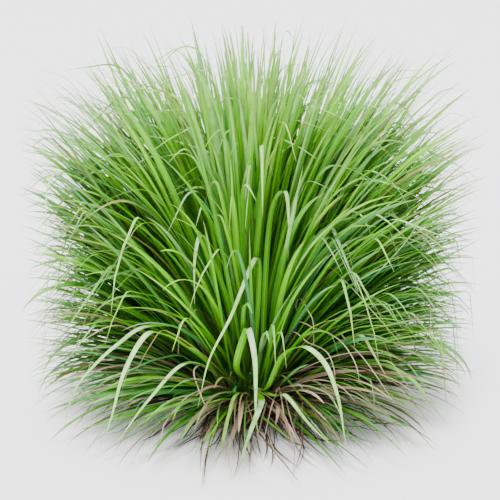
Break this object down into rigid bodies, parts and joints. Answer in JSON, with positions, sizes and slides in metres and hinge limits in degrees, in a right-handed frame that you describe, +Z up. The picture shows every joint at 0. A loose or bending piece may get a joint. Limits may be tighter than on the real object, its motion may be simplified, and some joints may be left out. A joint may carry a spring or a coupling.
{
  "type": "lemongrass clump",
  "caption": "Clump of lemongrass lifted whole: long narrow leaves fan up and arch out from short stalks on one flat-bottomed crown, some bent over, with dry leaves low down.",
  "frame": {"origin": "middle of the crown's flat underside, on the surface that the clump stands on", "axes": "+Z up, +Y away from the side that the picture shows, +X to that side's right"},
  "size_m": [1.1384, 0.9177, 0.9573],
  "materials": {
    "leaf": "fresh grass blade, satin, bright yellow-green to blue-green, paler and greyer on the bent tips",
    "dry_leaf": "dry grass blade, dull straw and pinkish brown",
    "rootstock": "dull brown rootstock with trimmed roots"
  },
  "bodies": {
    "root": {"crown": "rootstock", "stalk_01": "leaf", "stalk_02": "leaf", "stalk_03": "leaf", "stalk_04": "leaf", "stalk_05": "leaf", "stalk_06": "leaf", "stalk_07": "leaf", "stalk_08": "leaf", "stalk_09": "leaf", "stalk_10": "leaf", "stalk_11": "leaf", "stalk_12": "leaf", "stalk_13": "leaf", "stalk_14": "leaf", "stalk_15": "leaf", "stalk_16": "leaf", "stalk_17": "leaf", "stalk_18": "leaf", "stalk_19": "leaf", "stalk_20": "leaf", "stalk_21": "leaf", "stalk_22": "leaf", "stalk_23": "leaf", "stalk_24": "leaf", "stalk_25": "leaf", "stalk_26": "leaf", "stalk_27": "leaf", "stalk_28": "leaf", "stalk_29": "leaf", "stalk_30": "leaf", "stalk_31": "leaf", "stalk_32": "leaf", "stalk_33": "leaf", "stalk_34": "leaf", "stalk_35": "leaf", "stalk_36": "leaf", "stalk_37": "leaf", "stalk_38": "leaf", "stalk_39": "leaf", "stalk_40": "leaf", "stalk_41": "leaf", "stalk_42": "leaf", "stalk_43": "leaf", "stalk_44": "leaf", "stalk_45": "leaf", "stalk_46": "leaf", "stalk_47": "leaf", "dry_stalk_01": "dry_leaf", "dry_stalk_02": "dry_leaf", "dry_stalk_03": "dry_leaf", "dry_stalk_04": "dry_leaf", "dry_stalk_05": "dry_leaf"}
  },
  "joints": []
}
